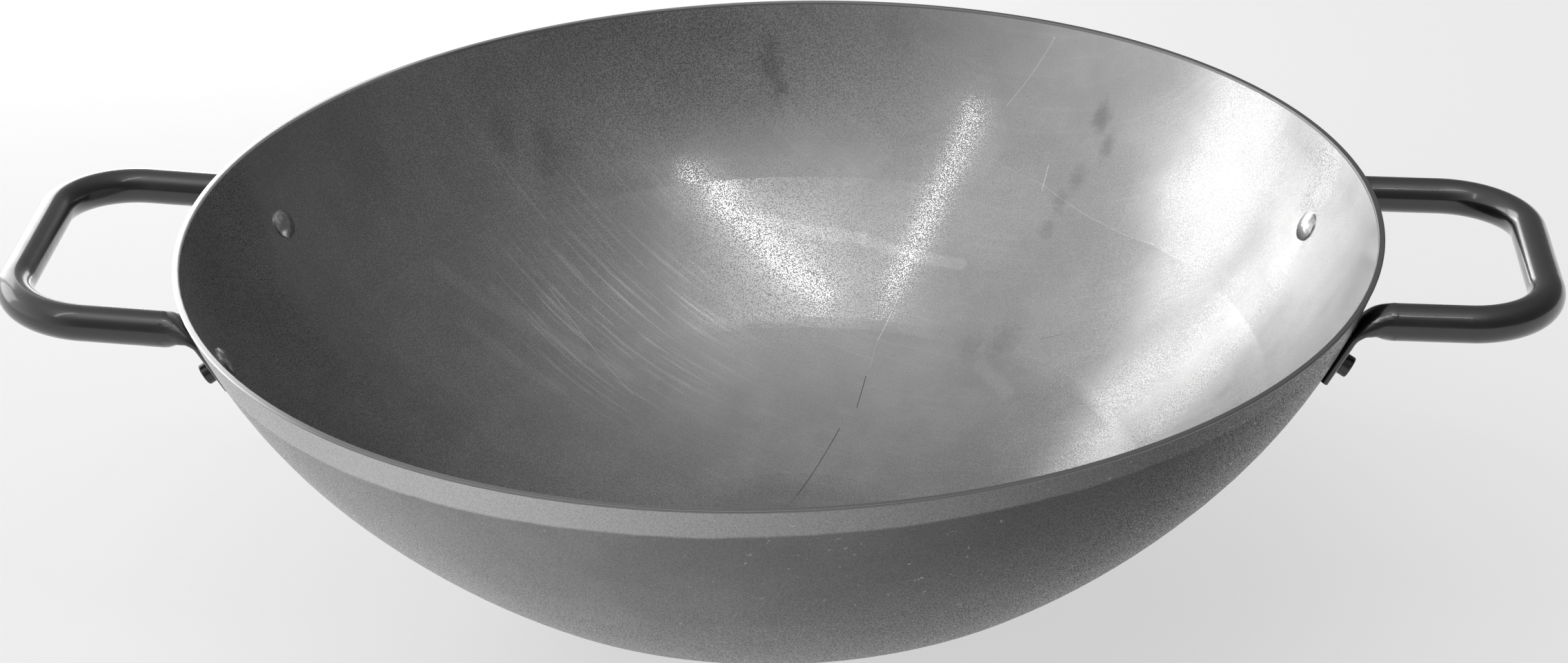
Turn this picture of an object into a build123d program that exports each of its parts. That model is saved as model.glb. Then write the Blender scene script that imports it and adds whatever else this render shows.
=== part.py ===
import os
from math import asin, cos, degrees, pi, radians, sin, sqrt, tan

from build123d import *

# A carbon steel wok: one bowl spun from sheet, two handles bent from tube, and four rivets.
# The bowl's axis is Z, its small flat underside lies on Z = 0, and the handles lie along X.
# All lengths are in millimetres and all angles in degrees.

# Bowl: its outer curve from the middle of the base out to the rim. Each run is measured
# straight out from the axis, and each angle is how steep the wall stands where a run ends.
sheet = 2.0
rim_diameter = 400.0
flat_diameter = 60.0
knuckle_run = 24.0
knuckle_angle = 13.6
dish_run = 65.0
dish_angle = 31.6
wall_foot_run = 4.0
wall_foot_angle = 37.0
upper_wall_run = 35.0
upper_wall_angle = 48.5
rim_angle = 70.0
rim_edge_round = 0.4
rim_trim_angle = 2.0

# Rivets: a domed head inside the bowl, and a plain upset head on the handle's tab.
rivet_inset_from_rim = 12.4
rivet_diameter = 5.0
rivet_hole_clearance = 0.1
dome_diameter = 10.4
dome_height = 1.9
dome_edge = 0.5
upset_diameter = 7.3
upset_height = 3.6
upset_round = 0.6

# Handles: tube, pressed flat at both ends and turned down along the wall as riveted tabs.
tube_diameter = 12.2
tube_wall = 1.3
reach_past_rim = 51.2
bend_radius = 27.7
neck_bend_radius = 9.5
press_lead = 3.0
even_lead = 1.5
tab_width = 17.5
tab_thickness = 2.6
tab_tail = 6.2

# The handles are bent by hand, so the left one is a little wider and tips up further.
left_arm_spacing = 108.0
left_arm_drop = 14.5
left_tilt = 4.8
right_arm_spacing = 99.0
right_arm_drop = 13.8
right_tilt = -2.2

# Sections that carry the neck from round tube to flat tab, and where the four arcs of a
# section meet, as shares of half its thickness, when it is round and when it is flat.
neck_sections = 6
round_corner_share = sqrt(0.5)
flat_corner_share = 0.97

# Fits between the pieces, and how far a cut runs past the material.
seat_clearance = 0.03
cut_overrun = 1.0

rim_radius = rim_diameter / 2
flat_radius = flat_diameter / 2
rivet_circle_radius = rim_radius - rivet_inset_from_rim
handle_reach = rim_radius + reach_past_rim
knuckle_radius = flat_radius + knuckle_run
dish_radius = knuckle_radius + dish_run
stations = [
    (flat_radius, 0.0),
    (knuckle_radius, knuckle_angle),
    (dish_radius, dish_angle),
    (dish_radius + wall_foot_run, wall_foot_angle),
    (rim_radius - upper_wall_run, upper_wall_angle),
    (rim_radius, rim_angle),
]


def bend_between(start, end):
    """Radius of the arc that turns the wall from one station's angle to the next one's."""
    (start_radius, start_angle), (end_radius, end_angle) = start, end
    return (end_radius - start_radius) / (sin(radians(end_angle)) - sin(radians(start_angle)))


def wall_at(radius):
    """Height and steepness of the bowl's outer face at a distance from the axis."""
    height = 0.0
    angle = 0.0
    for start, end in zip(stations, stations[1:]):
        if radius > start[0]:
            bend = bend_between(start, end)
            run = min(radius, end[0]) - start[0]
            angle = asin(sin(radians(start[1])) + run / bend)
            height += bend * (cos(radians(start[1])) - cos(angle))
    return height, degrees(angle)


rim_height, _ = wall_at(rim_radius)
rivet_height, rivet_wall_angle = wall_at(rivet_circle_radius)
inner_bend = bend_between(stations[-2], stations[-1]) - sheet


def seat_plane(side, end, arm_spacing):
    """Plane on the outer wall at a rivet, looking straight out of the bowl."""
    y = end * arm_spacing / 2
    x = side * sqrt(rivet_circle_radius**2 - y**2)
    steep = radians(rivet_wall_angle)
    outward = Vector(x / rivet_circle_radius, y / rivet_circle_radius, 0) * sin(steep)
    outward = outward - Vector(0, 0, cos(steep))
    up_the_tab = Vector(-outward.Z * side, 0, outward.X * side).normalized()
    return Plane(origin=(x, y, rivet_height), x_dir=up_the_tab, z_dir=outward)


def wall_line(start, inset):
    """One face of the bowl's wall as tangent arcs, from its flat out past the rim."""
    edge = Line(start, (flat_radius, start[1]))
    for begin, end in zip(stations, stations[1:]):
        trim = rim_trim_angle if end is stations[-1] else 0
        turn = end[1] - begin[1] + trim
        edge = JernArc(start=edge @ 1, tangent=edge % 1, radius=bend_between(begin, end) - inset, arc_size=turn)
    return edge


handles = {
    "left": (-1, left_arm_spacing, left_arm_drop, left_tilt),
    "right": (1, right_arm_spacing, right_arm_drop, right_tilt),
}
ends = {"rear": 1, "front": -1}
seats = {
    (name, end): seat_plane(side, ends[end], arm_spacing)
    for name, (side, arm_spacing, arm_drop, tilt) in handles.items()
    for end in ends
}
hole_radius = rivet_diameter / 2 + rivet_hole_clearance

# Bowl: a wall of even thickness turned about Z, with the rim cut flat and four rivet holes.
with BuildPart() as bowl:
    with BuildSketch(Plane.XZ):
        with BuildLine():
            outside = wall_line((0, 0), 0)
            inside = wall_line((0, sheet), sheet)
            Line(outside @ 1, inside @ 1)
            Line((0, 0), (0, sheet))
        make_face()
    revolve(axis=Axis.Z)
    split(bisect_by=Plane.XY.offset(rim_height), keep=Keep.BOTTOM)
    rim_edges = bowl.edges().group_by(Axis.Z)[-1]
    fillet(rim_edges, radius=rim_edge_round)
    for seat in seats.values():
        with Locations(seat.offset(cut_overrun)):
            Hole(hole_radius, depth=sheet + 2 * cut_overrun)

bowl.part.label = "bowl"


def tube_section(plane, wide, flat):
    """Outline of the tube, from round at shares of 0 to as wide and flat as the tab at 1."""
    half_width = (tube_diameter + (tab_width - tube_diameter) * wide) / 2
    half_height = (tube_diameter + (tab_thickness - tube_diameter) * flat) / 2
    x = half_width - half_height * (1 - round_corner_share * (1 - flat))
    y = half_height * (round_corner_share + (flat_corner_share - round_corner_share) * flat)
    with BuildSketch(plane) as section:
        with BuildLine():
            ThreePointArc((-x, y), (0, half_height), (x, y))
            ThreePointArc((x, y), (half_width, 0), (x, -y))
            ThreePointArc((x, -y), (0, -half_height), (-x, -y))
            ThreePointArc((-x, -y), (-half_width, 0), (-x, y))
        make_face()
    return section.sketch


def neck_path(seat, outward, arm_height):
    """Middle of the neck, from the round tube, round one bend and down to the rivet."""
    up_the_tab = seat.x_dir
    tab_middle = seat.origin + seat.z_dir * (seat_clearance + tab_thickness / 2)
    corner = tab_middle + up_the_tab * ((arm_height - tab_middle.Z) / up_the_tab.Z)
    turn = radians(outward.get_angle(up_the_tab))
    neck_start = neck_bend_radius * tan(turn / 2) + press_lead + even_lead
    side_view = Plane(origin=corner, x_dir=outward, z_dir=outward.cross(up_the_tab))
    rivet_place = side_view.to_local_coords(tab_middle)
    with BuildLine(side_view) as path:
        FilletPolyline((neck_start, 0), (0, 0), (rivet_place.X, rivet_place.Y), radius=neck_bend_radius)
    return path.wire()


def build_handle(name, side, arm_drop, tilt):
    """A U of tube whose two ends are pressed flat and riveted to the wall."""
    lean = radians(tilt)
    outward = Vector(side * cos(lean), 0, sin(lean))
    arm_height = rim_height - arm_drop
    paths = {end: neck_path(seats[name, end], outward, arm_height) for end in ends}
    arm_start = paths["rear"] @ 0
    half = arm_start.Y
    loop_plane = Plane(
        origin=(arm_start.X, 0, arm_start.Z),
        x_dir=outward,
        z_dir=(-side * sin(lean), 0, cos(lean)),
    )
    arm_length = (handle_reach - side * arm_start.X) / cos(lean)
    with BuildPart() as handle:
        with BuildLine(loop_plane):
            loop = FilletPolyline(
                (0, half), (arm_length, half), (arm_length, -half), (0, -half), radius=bend_radius
            )
        with BuildSketch(Plane(origin=loop @ 0, z_dir=loop % 0)):
            Circle(tube_diameter / 2)
            Circle(tube_diameter / 2 - tube_wall, mode=Mode.SUBTRACT)
        sweep(path=loop)
        for end, path in paths.items():
            seat = seats[name, end]
            flush = seat.x_dir.cross(seat.z_dir) * side
            tab_run = path.edges()[-1].length
            press_run = path.length - tab_run - even_lead
            steps = [step / (neck_sections - 1) for step in range(neck_sections)]
            pressing = [(even_lead + step * press_run, (1 - cos(pi * step)) / 2) for step in steps]
            neck = []
            for run, pressed in [(0, 0), *pressing, (press_run + 2 * even_lead, 1)]:
                facing = (path % (run / path.length)) * -1
                across = Vector(0, 1, 0) * (1 - pressed) + flush * pressed
                across = across - facing * across.dot(facing)
                section = Plane(origin=path @ (run / path.length), x_dir=across, z_dir=facing)
                neck.append(tube_section(section, pressed, pressed))
            loft(sections=neck)
            extrude(to_extrude=neck[-1], amount=-(tab_run - even_lead + tab_tail))
            with Locations(seat.offset(seat_clearance + tab_thickness + cut_overrun)):
                Hole(hole_radius, depth=tab_thickness + 2 * cut_overrun)
    handle.part.label = f"{name}_handle"
    return handle


def build_rivet(name, end):
    """A rivet through the wall and the tab, turned about the line straight out of the wall."""
    seat = seats[name, end]
    shank = rivet_diameter / 2
    dome = dome_diameter / 2
    upset = upset_diameter / 2
    dome_seat = -sheet - (inner_bend - sqrt(inner_bend**2 - dome**2)) - seat_clearance
    upset_seat = seat_clearance + tab_thickness + seat_clearance
    half_section = Plane(origin=seat.origin, x_dir=seat.x_dir, z_dir=seat.x_dir.cross(seat.z_dir))
    with BuildPart() as rivet:
        with BuildSketch(half_section):
            with BuildLine():
                Line((0, dome_seat - dome_height), (0, upset_seat + upset_height))
                Line((0, upset_seat + upset_height), (upset, upset_seat + upset_height))
                Line((upset, upset_seat + upset_height), (upset, upset_seat))
                Line((upset, upset_seat), (shank, upset_seat))
                Line((shank, upset_seat), (shank, dome_seat))
                Line((shank, dome_seat), (dome, dome_seat))
                Line((dome, dome_seat), (dome, dome_seat - dome_edge))
                crown = dome_height - dome_edge
                crown_radius = (dome**2 + crown**2) / (2 * crown)
                RadiusArc((dome, dome_seat - dome_edge), (0, dome_seat - dome_height), crown_radius)
            make_face()
        revolve(axis=Axis(seat.origin, seat.z_dir))
        fillet(rivet.edges().sort_by(Axis(seat.origin, seat.z_dir))[-1], radius=upset_round)
    rivet.part.label = f"{name}_{end}_rivet"
    return rivet


pieces = [bowl]
for name, (side, arm_spacing, arm_drop, tilt) in handles.items():
    pieces.append(build_handle(name, side, arm_drop, tilt))
    for end in ends:
        pieces.append(build_rivet(name, end))

os.makedirs("parts", exist_ok=True)
for piece in pieces:
    export_step(piece.part, f"parts/{piece.part.label}.step")

print(f"rim {rim_diameter:.0f} mm across, {rim_height:.1f} mm high")
print(f"rivets {rivet_height:.1f} mm up, where the wall stands at {rivet_wall_angle:.1f} degrees")
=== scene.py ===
# %% [markdown]
# # A carbon steel wok
#
# The wok is a bowl of bare carbon steel sheet with two handles of black enamelled tube, held by
# four rivets. Its solids come ready made at their real size. This notebook gives them their
# finishes, sets them on a pale floor under soft light, and looks at them with a camera.
# Everything is in metres. The bowl's axis is Z, the handles lie along X, and the floor is Z = 0.

import math

import bpy
from mathutils import Matrix, Vector


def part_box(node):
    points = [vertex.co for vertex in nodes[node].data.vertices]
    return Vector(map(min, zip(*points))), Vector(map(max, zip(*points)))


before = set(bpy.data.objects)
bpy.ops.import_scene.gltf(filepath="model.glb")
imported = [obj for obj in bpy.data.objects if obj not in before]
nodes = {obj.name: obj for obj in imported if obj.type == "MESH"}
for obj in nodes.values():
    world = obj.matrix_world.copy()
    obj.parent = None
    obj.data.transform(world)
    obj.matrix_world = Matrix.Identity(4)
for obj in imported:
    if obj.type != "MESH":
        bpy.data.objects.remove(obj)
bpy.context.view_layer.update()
print("nodes:", ", ".join(sorted(nodes)))

# %% [markdown]
# ## The view
#
# The photograph looks down into the bowl from in front, a little from the right, with a long
# lens. Two things fix such a view: how far away the camera stands, which sets how much larger the
# near rim is than the far one, and the lens, which then sets how large the wok is in the frame.
# A camera in Blender looks down its own -Z axis with +Y up, so its turn can be built from the
# line to the point that it looks at. The last turn, about that line, is how far the camera was
# from level.

# %% Camera
IMAGE_WIDTH, IMAGE_HEIGHT = 2273, 961
SENSOR_MM = 36.0
LENS_MM = 84.15
CAMERA_PLACE = Vector((0.0782, -1.1071, 0.6370))
LOOKS_AT = Vector((0.0010, 0.0, 0.0883))
OFF_LEVEL = math.radians(1.84)

camera_data = bpy.data.cameras.new("camera")
camera_data.sensor_width = SENSOR_MM
camera_data.lens = LENS_MM
camera = bpy.data.objects.new("camera", camera_data)
bpy.context.scene.collection.objects.link(camera)

camera_turn = (LOOKS_AT - CAMERA_PLACE).to_track_quat("-Z", "Y")
camera_turn = camera_turn @ Matrix.Rotation(-OFF_LEVEL, 3, "Z").to_quaternion()
camera.rotation_mode = "QUATERNION"
camera.rotation_quaternion = camera_turn
camera.location = CAMERA_PLACE
bpy.context.scene.camera = camera
print("camera to wok in metres:", round((LOOKS_AT - CAMERA_PLACE).length, 3))

# %% [markdown]
# ## A check on the view
#
# To set a camera from measured pixels, one has to know where a point of the object falls in the
# frame. A lens draws a thing twice as far away half as large. So a point's offset from the line
# of sight, divided by its distance, says how far it falls from the frame's middle.


# %% Where a point falls in the frame
def pixel_of(point):
    """Where a point falls in the photograph's frame, in pixels from its top left corner."""
    seen = camera_turn.to_matrix().transposed() @ (Vector(point) - CAMERA_PLACE)
    scale = LENS_MM / SENSOR_MM * IMAGE_WIDTH / -seen.z
    return round(IMAGE_WIDTH / 2 + scale * seen.x, 1), round(IMAGE_HEIGHT / 2 - scale * seen.y, 1)


rim_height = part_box("bowl")[1].z
print("the rim's middle is at pixel", pixel_of((0, 0, rim_height)))

# %% [markdown]
# ## Helpers for nodes
#
# A material in Blender is a tree of nodes, in which one node's output feeds another's input. One
# small function adds a node to a tree with its settings and its links and gives back its output,
# so that a material reads from top to bottom like a recipe. A second one starts an empty tree.
# The sizes in a pattern are real ones in millimetres, times MM.


# %% Node helpers
MM = 0.001


def add(tree, kind, settings=None, inputs=None, output=0):
    """Adds a node and gives back one output. An input given a socket is linked, others are set."""
    node = tree.nodes.new(kind)
    for name, value in (settings or {}).items():
        setattr(node, name, value)
    for name, value in (inputs or {}).items():
        if isinstance(value, bpy.types.NodeSocket):
            tree.links.new(value, node.inputs[name])
        else:
            node.inputs[name].default_value = value
    return node.outputs[output] if node.outputs else None


def new_tree(owner):
    """The empty node tree of a new material or world."""
    owner.use_nodes = True
    owner.node_tree.nodes.clear()
    return owner.node_tree


print("a millimetre is", MM, "metres")

# %% [markdown]
# ## Bare carbon steel: where a point is
#
# The bowl is carbon steel sheet, cold rolled, spun over a form, and left bare. The metal is the
# same all over, but its face isn't: the inside was ground, the outside is plainer and has a
# cleaned band under the rim, and the rim's edge was cut. So the recipe starts with what has to be
# known about the point being painted: its place, how far it is below the rim, and whether it is
# inside or outside. The bowl opens upwards, so an inside face looks up and an outside one down.
# Many marks are easiest to place in plan, which is the place with its height left out.

# %% Place, depth and side of a point on the bowl
steel = bpy.data.materials.new("carbon_steel_ground_bare")
tree = new_tree(steel)
place = add(tree, "ShaderNodeTexCoord", output="Object")
across = add(tree, "ShaderNodeSeparateXYZ", inputs={"Vector": place}, output="X")
height = add(tree, "ShaderNodeSeparateXYZ", inputs={"Vector": place}, output="Z")
depth = add(tree, "ShaderNodeMath", {"operation": "SUBTRACT"}, {0: rim_height, 1: height})
plan = add(tree, "ShaderNodeVectorMath", {"operation": "MULTIPLY"}, {
    0: place, 1: (1.0, 1.0, 0.0)})

faces = add(tree, "ShaderNodeNewGeometry", output="Normal")
looks_up = add(tree, "ShaderNodeSeparateXYZ", inputs={"Vector": faces}, output="Z")
inside = add(tree, "ShaderNodeMath", {"operation": "GREATER_THAN"}, {0: looks_up, 1: 0.0})
outside = add(tree, "ShaderNodeMath", {"operation": "SUBTRACT"}, {0: 1.0, 1: inside})
print("rim height in mm:", round(rim_height / MM, 1))

# %% [markdown]
# ## The ground face
#
# Grit leaves pits about half a millimetre across. Between them the metal is smooth enough to
# mirror a lamp as a sharp streak, and in them it scatters the light into a soft halo. So one
# noise at the size of the pits drives the roughness here, and a very shallow bump in the
# shader's cell. Where a lamp shines, this breaks the streak up into sparkle. The noise has few
# octaves, because finer grain wouldn't show at this distance. A Map Range turns the noise into
# a roughness. Nothing on worn metal changes abruptly, so this one and most of the later ones
# ease in and out, a setting that SOFT stands for.

# %% Pits of the grit
SOFT = {"interpolation_type": "SMOOTHSTEP"}
PIT_SIZE = 0.45 * MM
FLAT_BELOW, PIT_ABOVE = 0.4, 0.6
SMOOTH, PITTED = 0.12, 0.56

pits = add(tree, "ShaderNodeTexNoise", inputs={
    "Vector": place, "Scale": 1 / PIT_SIZE, "Detail": 1.0, "Roughness": 0.5})
roughness = add(tree, "ShaderNodeMapRange", SOFT, {
    "Value": pits, "From Min": FLAT_BELOW, "From Max": PIT_ABOVE,
    "To Min": SMOOTH, "To Max": PITTED})
print("pits in a square centimetre, about:", round((10 * MM / PIT_SIZE) ** 2))

# %% [markdown]
# ## Colours
#
# Colours are written as sRGB hex, as a paint chart or an image editor gives them, and Blender's
# shaders work in linear light, so one function turns the first into the second. A Mix node has
# to be told that it mixes colours, and COLOURS stands for that setting. The node then takes them
# at its sockets 6 and 7 and gives the mixed one back at its output 2.


# %% Colour helper
COLOURS = {"data_type": "RGBA"}


def linear(hex_colour):
    """An sRGB hex colour, such as '808080', as linear red, green, blue and alpha."""
    parts = [int(hex_colour[i:i + 2], 16) / 255 for i in (0, 2, 4)]
    return (*[p / 12.92 if p <= 0.04045 else ((p + 0.055) / 1.055) ** 2.4 for p in parts], 1.0)


print("mid grey in linear light:", round(linear("808080")[0], 3))

# %% [markdown]
# ## Clouds and grain
#
# Bare steel is never one even grey. Rolling oil that dried leaves clouds a few centimetres wide,
# and the grain itself varies a little from pit to pit. A metal's colour is all in its reflection,
# so these are small changes of a grey that stands for how much it reflects.

# %% Clouds and grain
CLOUD_SIZE = 42 * MM
CLOUDS_FROM, CLOUDS_TO = 0.36, 0.64
GRAIN_FROM, GRAIN_TO, GRAIN_SHADE = 0.3, 0.7, 0.07
PALE_STEEL, DARK_STEEL = linear("A5A5A5"), linear("9B9B9B")

clouds = add(tree, "ShaderNodeTexNoise", inputs={
    "Vector": place, "Scale": 1 / CLOUD_SIZE, "Detail": 5.0, "Roughness": 0.62})
cloudy = add(tree, "ShaderNodeMapRange", SOFT, {
    "Value": clouds, "From Min": CLOUDS_FROM, "From Max": CLOUDS_TO})
colour = add(tree, "ShaderNodeMix", COLOURS, {0: cloudy, 6: DARK_STEEL, 7: PALE_STEEL}, 2)
grainy = add(tree, "ShaderNodeMapRange", inputs={
    "Value": pits, "From Min": GRAIN_FROM, "From Max": GRAIN_TO,
    "To Min": 1.0 - GRAIN_SHADE, "To Max": 1.0 + GRAIN_SHADE})
colour = add(tree, "ShaderNodeVectorMath", {"operation": "SCALE"}, {0: colour, "Scale": grainy})
print("steel reflects", round(DARK_STEEL[0], 2), "to", round(PALE_STEEL[0], 2))

# %% [markdown]
# ## Blots of oil
#
# Drops of the oil dried to small dark blots, mostly high on the far wall. Each is a disc in plan,
# and a noise bends its edge: the noise is taken off the distance to the blot's middle, so the
# outline runs out where the noise is high and in where it is low. The table gives each blot's
# place and radius in millimetres, and how much of the oil's colour it shows.

# %% Blots of oil
RAGGED_SIZE, RAGGED = 4.5 * MM, 2.4
BLOT_CORE, BLOT_EDGE = -1.0, 0.2
OIL = linear("4A4A4A")
BLOTS_MM = (
    (111, 148, 3.4, 0.36), (113, 140, 3.0, 0.32), (102, 138, 3.2, 0.24), (96, 135, 3.0, 0.24),
    (91, 129, 3.0, 0.2), (-97, 149, 7.0, 0.18), (-112, 145, 5.0, 0.2), (-14, 188, 5.0, 0.27),
    (-10, 184, 3.5, 0.24), (74, 98, 6.0, 0.2), (62, 101, 5.0, 0.17), (150, 12, 3.0, 0.12),
)

ragged = add(tree, "ShaderNodeTexNoise", inputs={
    "Vector": place, "Scale": 1 / RAGGED_SIZE, "Detail": 4.0, "Roughness": 0.7})
for x, y, radius, strength in BLOTS_MM:
    radius = radius * MM
    away = add(tree, "ShaderNodeVectorMath", {"operation": "DISTANCE"}, {
        0: plan, 1: (x * MM, y * MM, 0.0)}, "Value")
    bent = add(tree, "ShaderNodeMath", {"operation": "MULTIPLY_ADD"}, {
        0: ragged, 1: -RAGGED * radius, 2: away})
    blot = add(tree, "ShaderNodeMapRange", SOFT, {
        "Value": bent, "From Min": BLOT_CORE * radius, "From Max": BLOT_EDGE * radius,
        "To Min": strength, "To Max": 0.0})
    blot = add(tree, "ShaderNodeMath", {"operation": "MULTIPLY"}, {0: blot, 1: inside})
    colour = add(tree, "ShaderNodeMix", COLOURS, {0: blot, 6: colour, 7: OIL}, 2)
print("blots:", len(BLOTS_MM))

# %% [markdown]
# ## Scourer's lines
#
# A scourer was pulled down the left of the wall in one sweep, and left fine parallel lines in a
# soft patch. Stretched noise makes them: seen along the sweep it changes slowly, and across it
# quickly. Turning the place by the sweep's angle first lines the noise up with the hand's way.
# The real lines are hair fine, and these are drawn several times as wide so that they show. They
# are stronger where the clouds of an earlier cell are pale, as where the scourer pressed harder.

# %% Scourer's lines
SWEEP_ANGLE = math.radians(-25)
LINE_WIDTH, LINE_LENGTH = 1.5 * MM, 48 * MM
LINES_FROM, LINES_TO = 0.5, 0.72
PATCH_MIDDLE = (-74 * MM, 112 * MM, 0.0)
PATCH_CORE, PATCH_RADIUS = 19.6 * MM, 56 * MM
IN_PATCH, ROUND_PATCH = 0.9, 0.1
LIGHTEST_TOUCH = 0.35
SCOURED_STEEL = linear("D1D1D1")

turned = add(tree, "ShaderNodeMapping", {"vector_type": "TEXTURE"}, {
    "Vector": plan, "Rotation": (0.0, 0.0, SWEEP_ANGLE), "Scale": (LINE_LENGTH, LINE_WIDTH, 1.0)})
sweep = add(tree, "ShaderNodeTexNoise", inputs={
    "Vector": turned, "Scale": 1.0, "Detail": 3.0, "Roughness": 0.65})
lines = add(tree, "ShaderNodeMapRange", SOFT, {
    "Value": sweep, "From Min": LINES_FROM, "From Max": LINES_TO})
away = add(tree, "ShaderNodeVectorMath", {"operation": "DISTANCE"}, {
    0: plan, 1: PATCH_MIDDLE}, "Value")
patch = add(tree, "ShaderNodeMapRange", SOFT, {
    "Value": away, "From Min": PATCH_CORE, "From Max": PATCH_RADIUS,
    "To Min": IN_PATCH, "To Max": ROUND_PATCH})
pressed = add(tree, "ShaderNodeMath", {"operation": "MULTIPLY_ADD"}, {
    0: cloudy, 1: 1.0 - LIGHTEST_TOUCH, 2: LIGHTEST_TOUCH})
for mask in (patch, pressed, inside):
    lines = add(tree, "ShaderNodeMath", {"operation": "MULTIPLY"}, {0: lines, 1: mask})
colour = add(tree, "ShaderNodeMix", COLOURS, {0: lines, 6: colour, 7: SCOURED_STEEL}, 2)
print("the lines are", round(LINE_LENGTH / LINE_WIDTH), "times as long as wide")

# %% [markdown]
# ## Scratches, smears and rubs
#
# A few single scratches cross the inside, as a spatula or a sharp grain leaves them. Fresh ones
# are bright, and old ones hold dirt and are dark. The wider strokes are faint rubs of a cloth,
# and two smears end to end make a pale bow across the far wall. Each is a straight stroke in
# plan: the nodes find its nearest point, and the distance to that makes the line. The table
# gives each stroke's ends, its width in millimetres, its colour and how much of it shows. Real
# scratches are about a tenth of a millimetre wide, and these are drawn four times as wide so
# that they show.

# %% Scratches, smears and rubs
BRIGHT, DIRT = linear("DDDDDD"), linear("3D3D3D")
SCRATCH, SMEAR, RUB = 0.42, 5.0, 7.0
STROKE_CORE, STROKE_EDGE = 0.2, 0.5
STROKES_MM = (
    ((-93, 109), (-75, 94), SCRATCH, BRIGHT, 0.55), ((-75, 94), (-61, 81), SCRATCH, BRIGHT, 0.35),
    ((36, 126), (28, 111), SCRATCH, BRIGHT, 0.5), ((28, 111), (25, 100), SCRATCH, BRIGHT, 0.16),
    ((24, 97), (21, 84), SCRATCH, DIRT, 0.8), ((15, 75), (1, 41), SCRATCH, DIRT, 0.8),
    ((1, 41), (-4, 30), SCRATCH, DIRT, 0.4), ((88, 93), (97, 90), SCRATCH, DIRT, 0.25),
    ((91.5, 147), (89, 141), SCRATCH, BRIGHT, 0.6), ((70, 157), (89, 143), SCRATCH, BRIGHT, 0.12),
    ((89, 143), (129, 101), SCRATCH, BRIGHT, 0.16), ((76, 167), (94, 172), SCRATCH, BRIGHT, 0.3),
    ((-18, 152), (22, 145), SMEAR, BRIGHT, 0.15), ((22, 145), (59, 130), SMEAR, BRIGHT, 0.15),
    ((66, 92), (76, 76), RUB, BRIGHT, 0.08), ((-130, 92), (-80, 91), RUB, BRIGHT, 0.1),
    ((-112, 97), (-64, 89), RUB, BRIGHT, 0.1), ((-119, 79), (-86, 73), RUB, BRIGHT, 0.08),
)

for start, end, width, shade, strength in STROKES_MM:
    start, end = Vector((*start, 0)) * MM, Vector((*end, 0)) * MM
    width, stroke = width * MM, end - start
    from_start = add(tree, "ShaderNodeVectorMath", {"operation": "SUBTRACT"}, {0: plan, 1: start})
    share = add(tree, "ShaderNodeVectorMath", {"operation": "DOT_PRODUCT"}, {
        0: from_start, 1: stroke / stroke.length_squared}, "Value")
    share = add(tree, "ShaderNodeClamp", inputs={"Value": share})
    nearest = add(tree, "ShaderNodeVectorMath", {"operation": "SCALE"}, {
        0: stroke, "Scale": share})
    gap = add(tree, "ShaderNodeVectorMath", {"operation": "DISTANCE"}, {
        0: from_start, 1: nearest}, "Value")
    line = add(tree, "ShaderNodeMapRange", SOFT, {
        "Value": gap, "From Min": STROKE_CORE * width, "From Max": STROKE_EDGE * width,
        "To Min": strength, "To Max": 0.0})
    line = add(tree, "ShaderNodeMath", {"operation": "MULTIPLY"}, {0: line, 1: inside})
    colour = add(tree, "ShaderNodeMix", COLOURS, {0: line, 6: colour, 7: shade}, 2)
print("strokes:", len(STROKES_MM))

# %% [markdown]
# ## The band outside, under the rim
#
# When the spun bowl is trimmed, the trimming wheel also cleans a band just under the rim, which
# stays paler than the wall below. On this bowl it is about a centimetre deep, a little
# deeper on the left, because the bowl sat slightly askew. Its lower edge is soft and wavers, and
# towards the left it fades into the wall. A band is cheapest as a test on the depth below the
# rim, to which the tilt and the waver are added first.

# %% Band outside
BAND_DEPTH, BAND_EDGE = 11.0 * MM, 1.4 * MM
BAND_TILT = 0.021
WAVER_SIZE, WAVER_DEPTH = 18 * MM, 1.4 * MM
BAND_FAINT_AT, BAND_CLEAR_AT = -190 * MM, -70 * MM
BAND_STRENGTH, FAINT_SHARE = 0.9, 0.25
BAND_STEEL = linear("DADADA")

waver = add(tree, "ShaderNodeTexNoise", inputs={
    "Vector": place, "Scale": 1 / WAVER_SIZE, "Detail": 2.0, "Roughness": 0.5})
lowness = add(tree, "ShaderNodeMath", {"operation": "MULTIPLY_ADD"}, {
    0: across, 1: BAND_TILT, 2: depth})
lowness = add(tree, "ShaderNodeMath", {"operation": "MULTIPLY_ADD"}, {
    0: waver, 1: WAVER_DEPTH, 2: lowness})
band = add(tree, "ShaderNodeMapRange", SOFT, {
    "Value": lowness, "From Min": BAND_DEPTH, "From Max": BAND_DEPTH + BAND_EDGE,
    "To Min": BAND_STRENGTH, "To Max": 0.0})
fading = add(tree, "ShaderNodeMapRange", SOFT, {
    "Value": across, "From Min": BAND_FAINT_AT, "From Max": BAND_CLEAR_AT,
    "To Min": FAINT_SHARE, "To Max": 1.0})
for mask in (fading, outside):
    band = add(tree, "ShaderNodeMath", {"operation": "MULTIPLY"}, {0: band, 1: mask})
colour = add(tree, "ShaderNodeMix", COLOURS, {0: band, 6: colour, 7: BAND_STEEL}, 2)
print("the band's depth in mm:", round(BAND_DEPTH / MM, 1))
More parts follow.
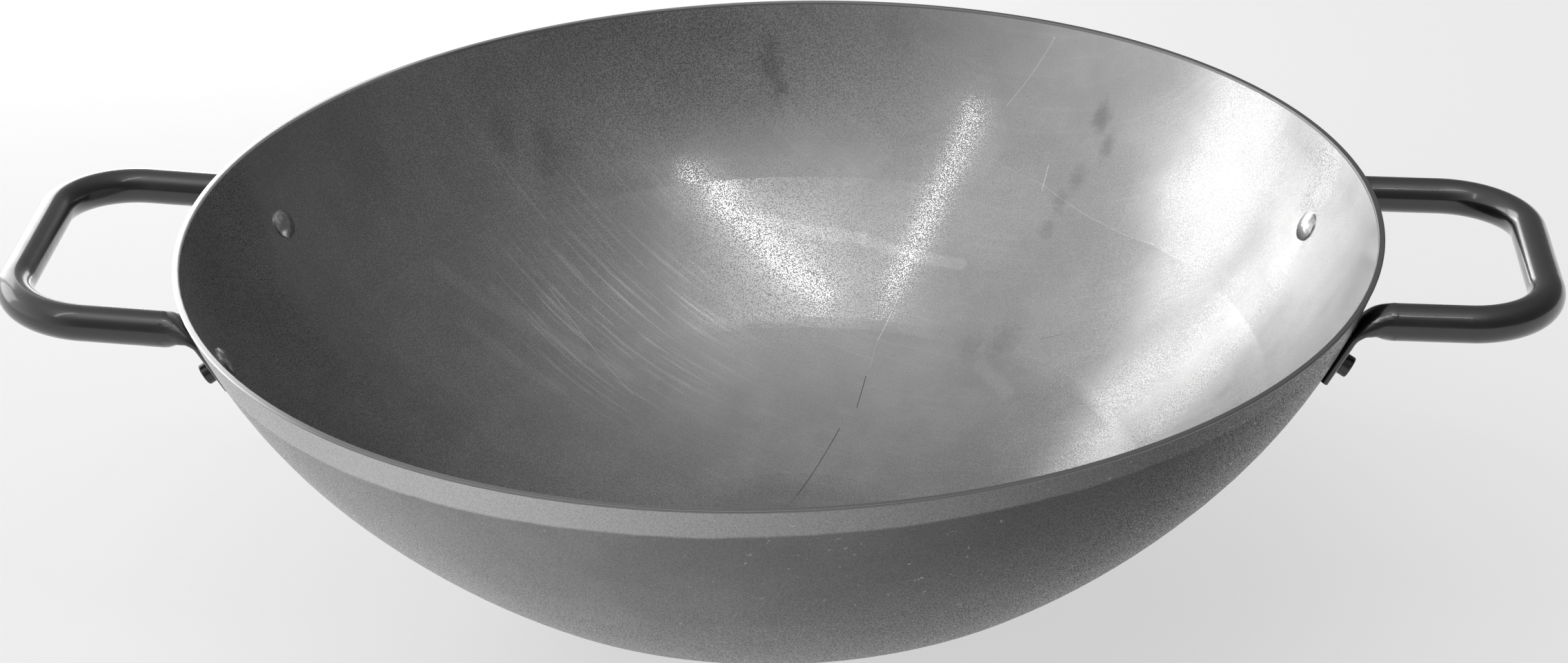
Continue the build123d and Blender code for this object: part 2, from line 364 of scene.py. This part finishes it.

# %% [markdown]
# ## Painted shade outside, painted light inside
#
# Outside, the steel's colour is made darker to the right: this is painted shade. Inside, the
# front right of the wall is made pale, a painted reflection of the bright windows, and it is
# also satin smooth. Neither has an edge, so soft ramps across the bowl make them. The pale part
# is where two ramps meet, one towards the right and one towards the front. One number at each
# point then multiplies the colour.

# %% Painted shade outside, painted light inside
OUTSIDE_LEFT, OUTSIDE_RIGHT = 1.02, 0.14
DARK_FROM, DARK_TO = -150 * MM, 125 * MM
PAINTED_LIGHT_GAIN = 2.05
FRONT_ANGLE = math.radians(-60)
FRONT_FROM, FRONT_TO = 15 * MM, 60 * MM
RIGHT_FROM, RIGHT_TO = 40 * MM, 110 * MM

# Painted shade: the outside's colour darkens steadily towards the right.
painted_shade_outside = add(tree, "ShaderNodeMapRange", inputs={
    "Value": across, "From Min": DARK_FROM, "From Max": DARK_TO,
    "To Min": OUTSIDE_LEFT, "To Max": OUTSIDE_RIGHT})
# Painted light: inside, the front right's colour is made paler, standing in for a bright
# reflection.
forward = add(tree, "ShaderNodeVectorMath", {"operation": "DOT_PRODUCT"}, {
    0: plan, 1: (math.cos(FRONT_ANGLE), math.sin(FRONT_ANGLE), 0.0)}, "Value")
front = add(tree, "ShaderNodeMapRange", SOFT, {
    "Value": forward, "From Min": FRONT_FROM, "From Max": FRONT_TO})
right = add(tree, "ShaderNodeMapRange", SOFT, {
    "Value": across, "From Min": RIGHT_FROM, "From Max": RIGHT_TO})
right_inside = add(tree, "ShaderNodeMath", {"operation": "MULTIPLY"}, {0: right, 1: inside})
satin_and_painted_light = add(tree, "ShaderNodeMath", {"operation": "MULTIPLY"}, {0: right_inside, 1: front})
painted_light_inside = add(tree, "ShaderNodeMath", {"operation": "MULTIPLY_ADD"}, {
    0: satin_and_painted_light, 1: PAINTED_LIGHT_GAIN - 1.0, 2: 1.0})
shading = add(tree, "ShaderNodeMix", inputs={0: inside, 2: painted_shade_outside, 3: painted_light_inside})
colour = add(tree, "ShaderNodeVectorMath", {"operation": "SCALE"}, {0: colour, "Scale": shading})
print("clean steel reflects", round(PAINTED_LIGHT_GAIN * PALE_STEEL[0], 2))

# %% [markdown]
# ## Pale specks outside
#
# Small knocks have left pale specks here and there on the outside. The peaks of a noise are small
# and far apart, so a threshold near its top leaves just such specks.

# %% Pale specks outside
SPECK_SIZE = 2.2 * MM
SPECKS_FROM, SPECKS_TO, SPECK_STRENGTH = 0.68, 0.76, 0.4
SPECK_STEEL = linear("C7C7C7")

specks = add(tree, "ShaderNodeTexNoise", inputs={
    "Vector": place, "Scale": 1 / SPECK_SIZE, "Detail": 2.0, "Roughness": 0.6})
specks = add(tree, "ShaderNodeMapRange", SOFT, {
    "Value": specks, "From Min": SPECKS_FROM, "From Max": SPECKS_TO,
    "To Min": 0.0, "To Max": SPECK_STRENGTH})
specks = add(tree, "ShaderNodeMath", {"operation": "MULTIPLY"}, {0: specks, 1: outside})
colour = add(tree, "ShaderNodeMix", COLOURS, {0: specks, 6: colour, 7: SPECK_STEEL}, 2)
print("steel nodes so far:", len(tree.nodes))

# %% [markdown]
# ## The cut edge of the rim
#
# The rim was cut with a wheel, which left a bare, matt strip as wide as the sheet is thick. Its
# colour is near white at the far left, a painted highlight, and grey elsewhere. The strip lies
# nearly level, so its depth below the rim tells it apart from the walls beside it.

# %% Cut edge of the rim
EDGE_DEPTH, EDGE_END = 0.75 * MM, 0.9 * MM
HIGHLIGHT_LEFT_OF, DULL_RIGHT_OF = -196 * MM, -120 * MM
EDGE_PAINTED_HIGHLIGHT, EDGE_DULL = linear("F4F4F4"), linear("808080")

# Painted highlight: the edge is near white at the far left and grey elsewhere.
rim_edge = add(tree, "ShaderNodeMapRange", inputs={
    "Value": depth, "From Min": EDGE_DEPTH, "From Max": EDGE_END, "To Min": 1.0, "To Max": 0.0})
dull = add(tree, "ShaderNodeMapRange", SOFT, {
    "Value": across, "From Min": HIGHLIGHT_LEFT_OF, "From Max": DULL_RIGHT_OF})
edge_colour = add(tree, "ShaderNodeMix", COLOURS, {0: dull, 6: EDGE_PAINTED_HIGHLIGHT, 7: EDGE_DULL}, 2)
colour = add(tree, "ShaderNodeMix", COLOURS, {0: rim_edge, 6: colour, 7: edge_colour}, 2)
print("the edge reflects", round(EDGE_DULL[0], 2), "to", round(EDGE_PAINTED_HIGHLIGHT[0], 2))

# %% [markdown]
# ## How smooth the steel is
#
# Outside, the face is a little rougher than the ground inside. Towards the right of the inside
# the pits were rubbed nearly flat, to an even satin, and at the front right, where the colour
# holds painted light, and on the cut edge, there are none. So the roughness of the pits is mixed
# with an even one there, and the same mask takes away their bump.

# %% Satin, and the strength of the pits
OUTSIDE_ROUGHER = 0.06
SATIN_SHARE, SATIN_ROUGHNESS = 0.65, 0.25
EDGE_ROUGHNESS = 0.5

satin = add(tree, "ShaderNodeMath", {"operation": "MULTIPLY"}, {0: right_inside, 1: SATIN_SHARE})
satin = add(tree, "ShaderNodeMath", {"operation": "MAXIMUM"}, {0: satin, 1: satin_and_painted_light})
roughness = add(tree, "ShaderNodeMath", {"operation": "MULTIPLY_ADD"}, {
    0: outside, 1: OUTSIDE_ROUGHER, 2: roughness})
roughness = add(tree, "ShaderNodeMix", inputs={0: satin, 2: roughness, 3: SATIN_ROUGHNESS})
roughness = add(tree, "ShaderNodeMix", inputs={0: rim_edge, 2: roughness, 3: EDGE_ROUGHNESS})
even = add(tree, "ShaderNodeMath", {"operation": "MAXIMUM"}, {0: satin, 1: rim_edge})
pit_strength = add(tree, "ShaderNodeMath", {"operation": "SUBTRACT"}, {0: 1.0, 1: even})
print("roughness from", SMOOTH, "to", round(PITTED + OUTSIDE_ROUGHER, 2))

# %% [markdown]
# ## The steel's shader
#
# All of it meets in one shader, fully metallic, with the colour and the roughness that the cells
# above made. The bump takes the pits' noise as a height, and their real depth as its distance.
# A small function then gives the finished material to solids.


# %% The steel's shader
PIT_DEPTH = 0.0078 * MM


def dress(names, material):
    """Gives a material to solids that came with the frame."""
    for name in names:
        nodes[name].data.materials.clear()
        nodes[name].data.materials.append(material)
    print(material.name, "with", len(material.node_tree.nodes), "nodes on", ", ".join(names))


normal = add(tree, "ShaderNodeBump", inputs={
    "Height": pits, "Distance": PIT_DEPTH, "Strength": pit_strength})
shader = add(tree, "ShaderNodeBsdfPrincipled", inputs={
    "Base Color": colour, "Metallic": 1.0, "Roughness": roughness, "Normal": normal})
add(tree, "ShaderNodeOutputMaterial", inputs={"Surface": shader})
dress(["bowl"], steel)

# %% [markdown]
# ## Black enamel: its film
#
# The handles are steel tube, dipped or sprayed with black enamel and baked. Enamel is a glassy
# coat, with the faint waviness of a wet film that levelled before it hardened, called orange
# peel. It is a shallow bump here. Hands and hooks have rubbed the film dull in places, which is
# a noise of a finger's width in the roughness.

# %% Film of the enamel
PEEL_SIZE, PEEL_DEPTH = 2.4 * MM, 0.012 * MM
WEAR_SIZE, WEAR_FROM, WEAR_TO = 9 * MM, 0.42, 0.7
GLOSSY, WORN = 0.28, 0.4

enamel = bpy.data.materials.new("black_enamel_baked_gloss")
tree = new_tree(enamel)
place = add(tree, "ShaderNodeTexCoord", output="Object")
peel = add(tree, "ShaderNodeTexNoise", inputs={
    "Vector": place, "Scale": 1 / PEEL_SIZE, "Detail": 1.0, "Roughness": 0.4})
normal = add(tree, "ShaderNodeBump", inputs={
    "Height": peel, "Distance": PEEL_DEPTH, "Strength": 1.0})
wear = add(tree, "ShaderNodeTexNoise", inputs={
    "Vector": place, "Scale": 1 / WEAR_SIZE, "Detail": 4.0, "Roughness": 0.65})
roughness = add(tree, "ShaderNodeMapRange", SOFT, {
    "Value": wear, "From Min": WEAR_FROM, "From Max": WEAR_TO, "To Min": GLOSSY, "To Max": WORN})
print("enamel roughness from", GLOSSY, "to", WORN)

# %% [markdown]
# ## Black enamel: its dust and its shader
#
# Enamel is nearly black, with a soft sheen and a sharper line of light on it, and dust has
# settled on it in pale specks. It isn't a metal, so its gloss comes from its IOR, about 1.5,
# which is the default. The soft sheen is the roughness of the black body, and the sharp line is
# the shader's coat, which stands for the clear glass that rises to the top when enamel melts.

# %% Dust, and the enamel's shader
DUST_SIZE = 0.8 * MM
DUST_FROM, DUST_TO, DUST_STRENGTH = 0.66, 0.78, 0.35
ENAMEL_BLACK, DUST = linear("121212"), linear("4C4C4C")
COAT_ROUGHNESS = 0.12

dust = add(tree, "ShaderNodeTexNoise", inputs={
    "Vector": place, "Scale": 1 / DUST_SIZE, "Detail": 2.0, "Roughness": 0.6})
dust = add(tree, "ShaderNodeMapRange", SOFT, {
    "Value": dust, "From Min": DUST_FROM, "From Max": DUST_TO,
    "To Min": 0.0, "To Max": DUST_STRENGTH})
colour = add(tree, "ShaderNodeMix", COLOURS, {0: dust, 6: ENAMEL_BLACK, 7: DUST}, 2)
shader = add(tree, "ShaderNodeBsdfPrincipled", inputs={
    "Base Color": colour, "Roughness": roughness, "Normal": normal,
    "Coat Weight": 1.0, "Coat Roughness": COAT_ROUGHNESS})
add(tree, "ShaderNodeOutputMaterial", inputs={"Surface": shader})
dress(["left_handle", "right_handle"], enamel)

# %% [markdown]
# ## Rivets: their dents
#
# The rivets are plain steel, cold headed: a press squeezes the head into shape, which leaves it
# smooth and shiny, with the faint dents of a used die. They are bare like the bowl, so they get
# the same kind of grey, but not its pits. One noise at the size of the dents drives the bump,
# the tarnish and the shine.

# %% Dents of the rivets
DENT_SIZE, DENT_DEPTH = 1.8 * MM, 0.004 * MM
TARNISH_FROM, TARNISH_TO = 0.35, 0.65
RIVET_DARK, RIVET_PALE = linear("A4A4A4"), linear("CCCCCC")
DENTS_FROM, DENTS_TO = 0.3, 0.7
DULLEST, SHINIEST = 0.34, 0.24

rivet_steel = bpy.data.materials.new("plain_steel_cold_headed")
tree = new_tree(rivet_steel)
place = add(tree, "ShaderNodeTexCoord", output="Object")
dents = add(tree, "ShaderNodeTexNoise", inputs={
    "Vector": place, "Scale": 1 / DENT_SIZE, "Detail": 2.0, "Roughness": 0.5})
normal = add(tree, "ShaderNodeBump", inputs={
    "Height": dents, "Distance": DENT_DEPTH, "Strength": 1.0})
tarnish = add(tree, "ShaderNodeMapRange", SOFT, {
    "Value": dents, "From Min": TARNISH_FROM, "From Max": TARNISH_TO})
colour = add(tree, "ShaderNodeMix", COLOURS, {0: tarnish, 6: RIVET_DARK, 7: RIVET_PALE}, 2)
roughness = add(tree, "ShaderNodeMapRange", inputs={
    "Value": dents, "From Min": DENTS_FROM, "From Max": DENTS_TO,
    "To Min": DULLEST, "To Max": SHINIEST})
print("rivet steel reflects", round(RIVET_DARK[0], 2), "to", round(RIVET_PALE[0], 2))

# %% [markdown]
# ## Rivets: their darker outer ends and their shader
#
# Outside, a rivet's end is made darker, and inside its head stays pale. One rivet is one solid,
# so its two ends are told apart by how far they are from the bowl's axis.

# %% Darker outer ends, and the rivets' shader
OUTSIDE_RADIUS = 188.6 * MM
RIVET_OUTER_DARK = linear("4A4A4A")

plan = add(tree, "ShaderNodeVectorMath", {"operation": "MULTIPLY"}, {
    0: place, 1: (1.0, 1.0, 0.0)})
from_axis = add(tree, "ShaderNodeVectorMath", {"operation": "LENGTH"}, {0: plan}, "Value")
# Darker colour on each rivet's end outside the bowl.
outer_end = add(tree, "ShaderNodeMath", {"operation": "GREATER_THAN"}, {
    0: from_axis, 1: OUTSIDE_RADIUS})
colour = add(tree, "ShaderNodeMix", COLOURS, {0: outer_end, 6: colour, 7: RIVET_OUTER_DARK}, 2)
shader = add(tree, "ShaderNodeBsdfPrincipled", inputs={
    "Base Color": colour, "Metallic": 1.0, "Roughness": roughness, "Normal": normal})
add(tree, "ShaderNodeOutputMaterial", inputs={"Surface": shader})
dress([name for name in nodes if name.endswith("rivet")], rivet_steel)

# %% [markdown]
# ## The floor
#
# The wok stands on a plain pale floor. It does two jobs: it gives the white ground of the
# picture, and the underside of the bowl, which is a mirror of sorts, reflects it. Matt board
# is enough for that: a pale, rough material, faintly mottled in spots of a few millimetres.

# %% Matt board
MOTTLE_SIZE = 6 * MM
BOARD_GREY, BOARD_PALE = linear("D8D8D8"), linear("DCDCDC")
BOARD_ROUGHNESS = 0.9

board = bpy.data.materials.new("pale_board_matt")
tree = new_tree(board)
place = add(tree, "ShaderNodeTexCoord", output="Object")
mottle = add(tree, "ShaderNodeTexNoise", inputs={
    "Vector": place, "Scale": 1 / MOTTLE_SIZE, "Detail": 2.0, "Roughness": 0.5})
colour = add(tree, "ShaderNodeMix", COLOURS, {0: mottle, 6: BOARD_GREY, 7: BOARD_PALE}, 2)
lit_board = add(tree, "ShaderNodeBsdfPrincipled", inputs={
    "Base Color": colour, "Roughness": BOARD_ROUGHNESS})
print("the board reflects", round(BOARD_GREY[0], 2), "to", round(BOARD_PALE[0], 2))

# %% [markdown]
# ## The white ground
#
# More light would whiten the board, but the wok with it. Instead, part of what the camera sees
# of the board is plain white, and the rest is the lit board with the wok's soft shadow. Light
# Path tells the camera's rays apart, and the rays that metal and glass send are treated in the
# same way.

# %% White ground
WHITE = linear("FFFFFF")
WHITE_SHARE = 0.6

whiteness = 0.0
for ray in ("Is Camera Ray", "Is Glossy Ray", "Is Transmission Ray"):
    is_ray = add(tree, "ShaderNodeLightPath", output=ray)
    whiteness = add(tree, "ShaderNodeMath", {"operation": "MULTIPLY_ADD"}, {
        0: is_ray, 1: WHITE_SHARE, 2: whiteness})
white = add(tree, "ShaderNodeEmission", inputs={"Color": WHITE, "Strength": 1.0})
shader = add(tree, "ShaderNodeMixShader", inputs={0: whiteness, 1: lit_board, 2: white})
add(tree, "ShaderNodeOutputMaterial", inputs={"Surface": shader})
print("plain white makes up", WHITE_SHARE, "of the board that is seen")

# %% [markdown]
# ## The sheet of board
#
# The board is one plane, so large that its edges are far from the wok. It belongs to the stage
# and not to the wok.

# %% Floor
FLOOR_SIDE = 12.0

bpy.ops.mesh.primitive_plane_add(size=FLOOR_SIDE)
floor = bpy.context.object
floor.name = "floor"
floor.data.materials.append(board)
print("floor side in metres:", FLOOR_SIDE)

# %% [markdown]
# ## Light
#
# Metal shows little but what it reflects, so the lamps are laid out like the room in the
# photograph, and each one can be found again in the bowl. Each lamp is flat, and its power is
# its brightness times its area times pi, so a lamp keeps its brightness when its size changes.


# %% A flat lamp
def lamp(name, middle, along, facing, size, brightness):
    """Makes a flat lamp with its long side along one way and its face towards another."""
    length, width = size
    facing = Vector(facing).normalized()
    side = Vector(along).cross(facing).normalized()
    along = facing.cross(side)
    data = bpy.data.lights.new(name, "AREA")
    data.shape = "RECTANGLE"
    data.size, data.size_y = length, width
    data.energy = brightness * math.pi * length * width
    flat_lamp = bpy.data.objects.new(name, data)
    bpy.context.scene.collection.objects.link(flat_lamp)
    turn = Matrix((along, side, -facing)).transposed().to_4x4()
    flat_lamp.matrix_world = Matrix.Translation(middle) @ turn
    print(name, "is", round(length, 2), "by", round(width, 3), "m and", round(data.energy, 1), "W")


# %% [markdown]
# ## Windows
#
# Two windows, about as high as they are wide, stand side by side on the left, a little to the
# back. They light the wok from the side and make the bright patch on the right of the bowl, and
# the post between them is the dark diagonal in that patch. The table gives each one's start and
# end along the wall, its top and its brightness. Both stand on one sill.

# %% Windows
WALL_DISTANCE = 1.6
WALL_ANGLE = math.radians(150)
SILL = 0.2
WINDOWS = {
    "window_near": (-1.35, -0.295, 1.2, 2.8),
    "window_far": (-0.195, 0.62, 1.08, 2.4),
}

to_wall = Vector((math.cos(WALL_ANGLE), math.sin(WALL_ANGLE), 0))
along_wall = Vector((-to_wall.y, to_wall.x, 0))
for name, (start, end, top, brightness) in WINDOWS.items():
    middle = to_wall * WALL_DISTANCE + along_wall * (start + end) / 2
    middle.z = (SILL + top) / 2
    lamp(name, middle, along_wall, -to_wall, (end - start, top - SILL), brightness)

# %% [markdown]
# ## Card behind the wok
#
# The front of the right wall mirrors what stands low behind the wok, just above the far rim.
# That part of the wall is bright, so a low card of light stands there, out of the picture, as
# studios use one.

# %% Card behind the wok
CARD_LEFT, CARD_RIGHT = -0.78, 0.0
CARD_BACK = 0.64
CARD_TOP = 0.27
CARD_BRIGHTNESS = 2.5

middle = Vector(((CARD_LEFT + CARD_RIGHT) / 2, CARD_BACK, CARD_TOP / 2))
lamp("card", middle, (1, 0, 0), (0, -1, 0), (CARD_RIGHT - CARD_LEFT, CARD_TOP), CARD_BRIGHTNESS)

# %% [markdown]
# ## Tubes under the ceiling
#
# Two long tubes hang in front, and are the two bright streaks that make a V in the bowl. A streak
# shows which way its tube runs, but not how far away it is. So the tubes hang at the usual height
# of a ceiling above a table, and their ends there were found from the ends of the streaks.

# %% Tubes under the ceiling
TUBE_HEIGHT = 1.6
TUBE_WIDTH = 0.02
TUBE_BRIGHTNESS = 22.0
TUBES = {
    "tube_right": ((0.505, -0.754), (-0.218, -0.223)),
    "tube_left": ((-1.230, -1.081), (-0.476, -0.190)),
}

for name, (start, end) in TUBES.items():
    start, end = Vector((*start, TUBE_HEIGHT)), Vector((*end, TUBE_HEIGHT))
    middle = (start + end) / 2
    lamp(name, middle, end - start, -middle, ((end - start).length, TUBE_WIDTH), TUBE_BRIGHTNESS)

# %% [markdown]
# ## The room
#
# Everything else that the metal sees is the room: bright towards the windows, dim on the other
# side, and brighter again above, where the ceiling is lit. The world's colour is a function of
# the direction looked in, so one soft ramp along X and one along Z make it.

# %% Light of the walls and the ceiling
ROOM_LEVEL, LEFT_LEVEL, CEILING_LEVEL = 0.163, 1.19, 0.5
FALL = 4.0

world = bpy.data.worlds.new("room")
bpy.context.scene.world = world
tree = new_tree(world)
direction = add(tree, "ShaderNodeTexCoord", output="Generated")
rightward = add(tree, "ShaderNodeSeparateXYZ", inputs={"Vector": direction}, output="X")
upward = add(tree, "ShaderNodeSeparateXYZ", inputs={"Vector": direction}, output="Z")
leftness = add(tree, "ShaderNodeMapRange", inputs={
    "Value": rightward, "From Min": 1.0, "From Max": -1.0})
left = add(tree, "ShaderNodeMath", {"operation": "POWER"}, {0: leftness, 1: FALL})
overhead = add(tree, "ShaderNodeMath", {"operation": "MAXIMUM"}, {0: upward, 1: 0.0})
ceiling = add(tree, "ShaderNodeMath", {"operation": "POWER"}, {0: overhead, 1: FALL})
level = add(tree, "ShaderNodeMath", {"operation": "MULTIPLY_ADD"}, {
    0: left, 1: LEFT_LEVEL, 2: ROOM_LEVEL})
level = add(tree, "ShaderNodeMath", {"operation": "MULTIPLY_ADD"}, {
    0: ceiling, 1: CEILING_LEVEL, 2: level})
print("room from", ROOM_LEVEL, "on the right to", round(ROOM_LEVEL + LEFT_LEVEL, 2), "on the left")

# %% [markdown]
# ## Glow round the tubes
#
# The ceiling is brightest round the tubes, which is the soft halo about the V. It is a round
# glow: how nearly a direction points to the tubes, raised to a power that sets how fast the glow
# falls off.

# %% Glow round the tubes
GLOW_WAY = Vector((-0.02, -0.31, 0.95)).normalized()
GLOW_LEVEL, GLOW_FALL = 1.2, 22.0

towards = add(tree, "ShaderNodeVectorMath", {"operation": "DOT_PRODUCT"}, {
    0: direction, 1: GLOW_WAY}, "Value")
towards = add(tree, "ShaderNodeMath", {"operation": "MAXIMUM"}, {0: towards, 1: 0.0})
glow = add(tree, "ShaderNodeMath", {"operation": "POWER"}, {0: towards, 1: GLOW_FALL})
level = add(tree, "ShaderNodeMath", {"operation": "MULTIPLY_ADD"}, {
    0: glow, 1: GLOW_LEVEL, 2: level})
background = add(tree, "ShaderNodeBackground", inputs={"Color": WHITE, "Strength": level})
add(tree, "ShaderNodeOutputWorld", inputs={"Surface": background})
print("world nodes:", len(tree.nodes))

# %% [markdown]
# ## How tones are shown
#
# Blender can bend a picture's tones, as film does, so that the brightest places don't burn out.
# That also greys a white ground and changes every grey that was matched to the photograph, so
# the Standard view is chosen, which shows the tones as they are.

# %% How tones are shown
bpy.context.scene.view_settings.view_transform = "Standard"
print("view:", bpy.context.scene.view_settings.view_transform)
